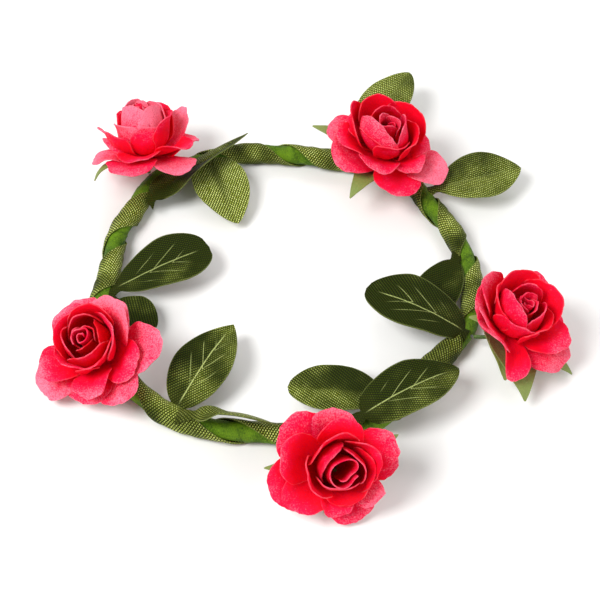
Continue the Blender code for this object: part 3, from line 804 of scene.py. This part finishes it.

# each rose's petals by azimuth, seen down the head's axis with 0 to the right, with any change from
# their kind. lean: how far the head is pushed over. pale: how much paler its petals are, partly faded
# dye and partly painted light
roses = {
    "front": {
        "lean": (0.07, 0.17),
        "pale": -0.28,
        "outer": (
            (138, {"length": 18.5}), (94, {"length": 14.5, "width": 16}),
            (14, {"length": 17, "floor": 1.0}), (292, {"length": 17, "width": 15}),
            (202, {"length": 18}),
        ),
        "second": (
            (220, {"length": 17.5, "spine": (8, 22, 30, 24, 4)}),
            (165, {"length": 18.5, "width": 18, "spine": (8, 28, 46, 46, 36), "pale": -0.3}),
            (82, {"length": 14}), (24, {"spine": (8, 26, 38, 36, 16)}),
            (318, {"length": 15.5, "width": 14, "cup": 1.5, "pale": 0.2}),
            (268, {"length": 15, "width": 13, "cup": 1.6}),
        ),
        "middle": (
            (200, {"length": 18}), (110, {"width": 19}), (20, {"length": 18.5, "width": 17}),
            (352, {"length": 16}), (290, {"length": 13.5, "spine": (14, 40, 62, 60, 40)}),
        ),
        "bud": (("wrap", 140, {}), ("wrap", 260, {}), ("wrap", 20, {})),
        "scroll": {"first": 2.3, "last": 4.2, "turns": 1.25, "turn": 250, "top": 18.4, "oval": 0.16},
        "sepals": (
            (22, {"length": 19, "width": 12}), (100, {"length": 14}),
            (183, {"length": 18, "width": 11}), (262, {"length": 14}), (320, {}),
        ),
    },
    "left": {
        "lean": (0.19, -0.03),
        "pale": -0.2,
        "outer": (
            (212, {"length": 20.5, "pale": 0.25}), (122, {"length": 16, "pale": 0.2}),
            (60, {"length": 15.5, "spine": (8, 20, 40, 48, 36), "pale": 0.3}),
            (352, {"length": 21.5}), (304, {"length": 20}), (262, {"length": 16}),
        ),
        "second": (
            (28, {"length": 16.5, "spine": (8, 30, 50, 58, 56), "pale": 0.2}),
            (330, {"length": 18, "spine": (8, 22, 32, 26, 4)}), (275, {}), (205, {"length": 18}),
            (135, {"length": 16}),
        ),
        "middle": (
            (155, {"width": 19}), (85, {"width": 18}), (15, {"width": 19}), (300, {"width": 19}),
            (230, {"width": 20}),
        ),
        "bud": (
            ("core", 40, {"start": 1.2}), ("core", 160, {"start": 1.2}),
            ("core", 280, {"start": 1.2}), ("wrap", 100, {"start": 1.8}),
            ("wrap", 10, {"start": 1.8}), ("wrap", 190, {"start": 1.8}),
            ("wrap", 280, {"start": 2.0, "width": 19, "length": 18}),
        ),
        "budPale": -0.3,
        "scroll": {"first": 0.7, "last": 2.8, "turns": 1.6, "turn": 0, "top": 17.4, "oval": 0.12},
        "sepals": ((20, {}), (95, {}), (165, {}), (214, {"length": 22, "width": 7}), (290, {})),
    },
    "back_right": {
        "lean": (-0.25, -0.14),
        "pale": -0.28,
        "outer": (
            (170, {"length": 19}), (212, {"length": 20}), (284, {"length": 20}),
            (335, {"length": 21, "pale": 0.25}), (40, {"length": 15}), (105, {"length": 14}),
        ),
        "second": (
            (194, {"spine": (8, 26, 38, 36, 16)}), (255, {"length": 17}), (312, {"width": 14}),
            (5, {"length": 15}), (150, {"length": 15}),
        ),
        "middle": (
            (165, {"length": 20, "width": 20, "spine": (8, 24, 62, 84, 86)}),
            (105, {"length": 20, "width": 21, "spine": (8, 24, 62, 84, 90)}),
            (45, {"length": 20, "width": 20, "spine": (8, 24, 60, 82, 84)}),
            (345, {"length": 18.5, "width": 18}), (285, {"length": 15, "width": 17}),
            (225, {"length": 15.5, "width": 18}),
        ),
        "bud": (
            ("core", 20, {}), ("core", 140, {}), ("core", 260, {}), ("wrap", 100, {}),
            ("wrap", 345, {}),
            ("wrap", 226, {"length": 19.5, "width": 19, "spine": (14, 44, 84, 114, 134), "pale": 0.2}),
        ),
        "budGrow": 1.12,
        "budPale": 0.05,
        "scroll": {"first": 0.7, "last": 2.0, "turns": 1.0, "turn": 90, "top": 15.5, "oval": 0.2},
        "sepals": (
            (20, {"length": 7, "spine": (20, 36, 44, 44, 40)}),
            (100, {"length": 7, "spine": (20, 36, 44, 44, 40)}),
            (172, {"length": 24, "width": 16, "floor": 0.7, "spine": (6, 12, 14, 6, -8)}),
            (240, {"length": 24, "width": 15, "spine": (8, 10, 6, -12, -34)}), (310, {"length": 9}),
        ),
    },
    "right": {
        "lean": (-0.06, 0.0),
        "pale": -0.3,
        "outer": (
            (176, {"length": 18, "spine": (10, 30, 52, 58, 50)}),
            (218, {"length": 16.5, "spine": (10, 30, 50, 56, 46)}),
            (316, {"length": 19, "pale": 0.25}), (25, {"length": 15}), (110, {"length": 15}),
        ),
        "second": (
            (148, {"length": 18.5, "spine": (10, 34, 60, 66, 60)}),
            (200, {"length": 16.5, "spine": (10, 30, 50, 58, 54)}),
            (266, {"length": 19, "width": 12, "cup": 1.9, "spine": (6, 14, 16, 10, 0)}), (330, {}),
            (60, {}),
        ),
        "middle": (
            (170, {"width": 18}), (100, {"length": 18.5, "width": 20}),
            (30, {"length": 18.5, "width": 20}), (318, {"length": 15, "width": 18}),
            (245, {"length": 15.5, "width": 18, "pale": 0.3}),
        ),
        "bud": (
            ("core", 80, {}), ("core", 200, {}), ("core", 320, {}), ("wrap", 90, {}),
            ("wrap", 320, {}),
            ("wrap", 205, {"length": 18.5, "width": 18, "spine": (18, 48, 86, 110, 124), "pale": 0.2}),
        ),
        "budPale": 0.0,
        "scroll": {"first": 0.7, "last": 2.2, "turns": 1.1, "turn": 150, "top": 16.5, "oval": 0.2},
        "sepals": (
            (30, {}), (100, {}), (170, {"length": 12}), (262, {"length": 16.5, "width": 22}),
            (279, {"length": 22.5, "width": 22}), (330, {"length": 22, "width": 16}),
        ),
    },
    "back_left": {
        "lean": (-0.02, 0.0),
        "pale": 0.0,
        "outer": (
            (190, {"length": 16.5, "spine": (2, 2, 6, 4, -2)}),
            (250, {"length": 17, "width": 19, "spine": (4, 2, -2, -6, -14), "pale": -0.3}),
            (312, {"length": 18.5, "spine": (2, -2, -4, -4, 0)}),
            (5, {"length": 16, "spine": (4, 14, 26, 30, 24)}), (70, {}), (130, {}),
        ),
        "second": (
            (206, {"length": 18.5, "width": 17, "spine": (6, 26, 48, 62, 66), "pale": -0.1}),
            (262, {"length": 15, "width": 17, "spine": (6, 12, 14, 8, 0), "pale": -0.4}),
            (322, {"length": 17.5, "spine": (6, 14, 22, 26, 24), "cup": 1.3, "pale": -0.4}),
            (36, {"length": 20, "width": 14, "spine": (6, 30, 52, 64, 68), "pale": 0.3}), (110, {}),
        ),
        "middle": (
            (215, {"length": 14, "width": 17, "pale": 0.5, "start": 2.8}),
            (288, {"length": 12.5, "width": 17, "pale": 0.3, "start": 3.0}), (345, {"width": 17}),
            (60, {"width": 18}), (135, {"width": 18}),
        ),
        "bud": (
            ("core", 0, {}), ("core", 120, {}), ("core", 240, {}), ("wrap", 135, {}),
            ("wrap", 45, {}), ("wrap", 315, {}), ("wrap", 225, {}),
        ),
        "budGrow": 1.1,
        "budPale": 0.45,
        "scroll": {"first": 0.9, "last": 2.4, "turns": 1.2, "turn": 200, "top": 18.5, "oval": 0.1},
        "sepals": (
            (22, {"length": 17, "width": 9, "spine": (8, 16, 20, 16, 8)}), (80, {"length": 9}),
            (150, {"length": 9}), (212, {"length": 20, "width": 11, "spine": (2, 6, 4, -30, -70)}),
            (290, {"length": 8}),
        ),
    },
}


def headFrame(place):  # from the head's own axes, foot at 0, to the crown's
    low = nodePoints(place + "_rose_calyx")
    high = nodePoints(place + "_rose_bud")
    axis = Vector(high.mean(axis=0) - low.mean(axis=0)).normalized()
    middle = Vector(low.mean(axis=0))
    bottom = min((Vector(p) - middle).dot(axis) for p in low)
    foot = middle + axis * bottom
    right = (Vector((1, 0, 0)) - axis * axis.x).normalized()
    ahead = axis.cross(right)
    made = Matrix((right, ahead, axis)).transposed().to_4x4()
    made.translation = foot
    return made


def spinePlaces(plan, count=24):  # radius, height and slope along a petal's middle
    rises = plan["spine"]
    marks = [i / (len(rises) - 1) for i in range(len(rises))]
    radius = plan["start"] * mm
    height = plan["floor"] * mm
    step = plan["length"] * mm / count
    places = []
    for i in range(count + 1):
        rise = math.radians(float(np.interp(i / count, marks, rises)))
        places.append((radius, height, rise))
        radius += math.cos(rise) * step
        height += math.sin(rise) * step
    return np.array(places)


# where a petal starts to feel the surface, and how near it then comes
touch = {"height": 1.6 * mm, "least": 0.5 * mm}


def abovePlace(point):  # a petal that reaches the surface bends along it
    if point.z < touch["height"]:
        give = touch["height"] - touch["least"]
        point.z = touch["least"] + give * math.exp((point.z - touch["height"]) / give)
    return point


def makePetal(name, plan, azimuth, seed, head):
    spine = spinePlaces(plan)
    shares = np.linspace(0, 1, len(spine))
    half = plan["width"] / 2 * mm
    turn = math.radians(azimuth)
    outward = Vector((math.cos(turn), math.sin(turn), 0))
    sideways = Vector((-math.sin(turn), math.cos(turn), 0))
    pointed = plan.get("pointed", False)
    rippleWay = Vector((seed * 1.37, seed * 0.71, seed * 2.11))

    def place(u, v):
        if pointed:
            s = (v + 1) / 2
            x = u * ((1 - s) ** 0.95 * (0.6 + 0.4 * smoothStep(s * 4)) + 0.02)
            rim = max(abs(u), s)
            angle = 0.0
        else:
            x = u * math.sqrt(1 - v * v / 2)
            y = v * math.sqrt(1 - u * u / 2)
            s = (y + 1) / 2
            rim = min(1.0, math.hypot(x, y))
            angle = math.atan2(y, x)
            edge = noise.noise(Vector((math.cos(angle) * 1.7, math.sin(angle) * 1.7, seed * 1.9)))
            edge += 0.35 * noise.noise(Vector((math.cos(angle) * 6, math.sin(angle) * 6, seed * 2.9)))
            x *= 1 + petalSheet["ragged"] * edge * rim**3
            s += (s - 0.3) * petalSheet["raggedTip"] * edge * rim**3
            x *= plan["waist"] + (1 - plan["waist"]) * smoothStep(s * 1.25)
        s = min(1.0, max(0.0, s))
        radius = float(np.interp(s, shares, spine[:, 0]))
        height = float(np.interp(s, shares, spine[:, 1]))
        rise = float(np.interp(s, shares, spine[:, 2]))
        cup = max(0.05, plan["cup"] * (1 - plan["open"] * s))
        bend = cup * x
        lateral = half / cup * math.sin(bend)
        lift = half / cup * (1 - math.cos(bend)) * (1 if plan["cup"] > 0 else -1)
        lift += plan["spiral"] * mm * x
        away = max(0.0, (rim - 0.55) / 0.45)
        lift -= plan["roll"] * mm * away**2 * smoothStep(s * 2)
        lift += plan["ruffle"] * mm * rim**2 * math.sin(3 * angle + seed * 2.3) * smoothStep(s * 2)
        ripple = noise.noise(rippleWay + Vector((x * 2.2, s * 2.6, 0)))
        lift += ripple * petalSheet["ripple"] * smoothStep(s * 2)
        crease = noise.noise(rippleWay + Vector((x * 7.0, s * 3.0, 5)))
        lift += crease * petalSheet["crease"] * smoothStep(s * 3)
        out = radius - math.sin(rise) * lift
        point = outward * out + sideways * lateral + up * (height + math.cos(rise) * lift)
        # paler towards the tip: partly faded dye, partly painted light
        near, far = plan["fade"]
        pale = near + (far - near) * s**1.3
        found = {"rim": rim if s > 0.3 else 0.0, "reach": s, "fade": pale}
        return abovePlace(head @ point), found

    piece = startGrid(name, petalSheet["across"], petalSheet["along"])
    shapeGrid(piece, place, ("rim", "reach", "fade"))
    thicken(piece, petalSheet["thickness"])
    return piece


scrollSheet = {"across": 52, "along": 10, "floor": 5.5, "top": 17.4}


def makeScroll(name, plan, seed, head):
    plan = dict(scrollSheet, **plan)

    def place(u, v):
        along = (u + 1) / 2
        t = (v + 1) / 2
        angle = math.radians(plan["turn"]) + math.tau * plan["turns"] * along
        radius = (plan["first"] + (plan["last"] - plan["first"]) * along) * mm
        top = plan["top"] - 1.2 * (1 - along) + 0.8 * math.sin(angle + seed) + 0.4 * math.sin(3 * angle)
        height = (plan["floor"] + (top - plan["floor"]) * t) * mm
        radius *= 1 + 0.12 * math.sin(math.pi * t) + 0.10 * smoothStep((t - 0.8) * 5)
        lobes = math.sin(2 * angle + seed) + 0.5 * math.sin(3 * angle)
        radius *= 1 + plan["oval"] * lobes
        point = Vector((radius * math.cos(angle), radius * math.sin(angle), height))
        rim = 1.0 if v > 0.9 else 0.5
        # paler towards the top of the scroll: partly faded dye, partly painted light
        return head @ point, {"rim": rim, "reach": 0.4 + 0.6 * t, "fade": 0.7 * t**2 - 0.3}

    piece = startGrid(name, plan["across"], plan["along"])
    shapeGrid(piece, place, ("rim", "reach", "fade"))
    thicken(piece, petalSheet["thickness"])
    return piece


def shiftFadeAndLight(kind, shift):
    near, far = kind["fade"]
    kind["fade"] = (near + shift, far + shift)


def makePetals(layers, plan, head, label, seed):
    made = []
    petals = [(layer, *petal) for layer in layers for petal in plan[layer]]
    for i, (layer, azimuth, changes) in enumerate(petals):
        seed += 1
        kind = dict(petalKinds[layer], **changes)
        kind["length"] *= 1 + 0.08 * noise.noise(Vector((seed * 3.3, 1, 2)))
        kind["floor"] += 0.12 * (i % 2)
        shiftFadeAndLight(kind, 0.5 * noise.noise(Vector((seed * 1.9, 4, 5))) + plan["pale"] + kind.get("pale", 0))
        made.append(makePetal(label + layer + str(i), kind, azimuth, seed, head))
    return made


def makeBud(plan, head, label, seed, number):  # a rolled strip in the middle, with petals wrapped round it
    made = [makeScroll(label + "scroll", plan["scroll"], number, head)]
    for i, (layer, azimuth, changes) in enumerate(plan["bud"]):
        seed += 1
        kind = dict(petalKinds[layer], **changes)
        grow = plan.get("budGrow", 1.0) * (1 + 0.1 * noise.noise(Vector((seed * 2.7, 7, 1))))
        kind["length"] *= grow
        kind["width"] *= grow
        kind["floor"] += 0.15 * (i % 3)
        shift = plan["pale"] + plan.get("budPale", 0) + kind.get("pale", 0)
        shiftFadeAndLight(kind, shift + 0.4 * noise.noise(Vector((seed * 1.3, 2, 5))))
        made.append(makePetal(label + layer + str(i), kind, azimuth, seed, head))
    return made


def makeCalyx(plan, head, label, seed):
    made = []
    for i, (azimuth, changes) in enumerate(plan["sepals"]):
        seed += 1
        kind = dict(petalKinds["sepal"], pointed=True, **changes)
        made.append(makePetal(label + "sepal" + str(i), kind, azimuth, seed, head))
    return made


def makeRose(place, plan, number, paints):
    leanRight, leanUp = plan["lean"]
    shear = Matrix(((1, 0, leanRight, 0), (0, 1, leanUp, 0), (0, 0, 1, 0), (0, 0, 0, 1)))
    head = headFrame(place) @ shear
    body = place + "_rose"
    first, *rest = place.split("_")
    label = first + "".join(word.title() for word in rest)
    seed = number * 10
    outer = makePetals(("outer", "second"), plan, head, label, seed)
    seed += len(outer)
    outer = joinAll(outer, label + "OuterPetals")
    finishPiece(outer, body, [body + "_outer_petals"], paints["petal"])
    middle = makePetals(("middle",), plan, head, label, seed)
    seed += len(middle)
    middle = joinAll(middle, label + "MiddlePetals")
    finishPiece(middle, body, [body + "_middle_petals"], paints["petal"])
    bud = joinAll(makeBud(plan, head, label, seed, number), label + "Bud")
    finishPiece(bud, body, [body + "_bud"], paints["bud"])
    seed += len(plan["bud"])
    calyx = joinAll(makeCalyx(plan, head, label, seed), label + "Calyx")
    finishPiece(calyx, body, [body + "_calyx"], paints["sepal"])


setStudio()
leafCloth = wovenMaterial("leafCloth", leafPaint, 38)
ribbonCloth = wovenMaterial("ribbonCloth", leafPaint, 90)
tapeCrepe = tapeMaterial("tapeCrepe", tapePaint)
paints = {
    "petal": petalMaterial("petalPaper", petalPaint),
    "bud": petalMaterial("budPaper", dict(petalPaint, deep=(214, 0, 20))),
    "sepal": sepalMaterial("sepalPaper", sepalPaint),
}
print("materials ready")

makeTape(tapeCrepe)
print("tape wound")
makeRibbons(ribbonCloth)
print("ribbon wound")
for index, (name, plan) in enumerate(leaves.items()):
    makeLeaf(name, index, plan, leafCloth)
print("leaves laid")
for number, (place, plan) in enumerate(roses.items()):
    makeRose(place, plan, number, paints)
    print(place, "rose made")

wires = {name: wireMaterial(name, paint) for name, paint in wirePaints.items()}
for name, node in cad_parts.items():
    if name.endswith("_rose_stem"):
        node.material_slots[0].material = wires["stemGreen"]
    elif name == "ring_wire" or name.endswith("_stem_leg"):
        node.material_slots[0].material = wires["wireSteel"]
print("wires painted")
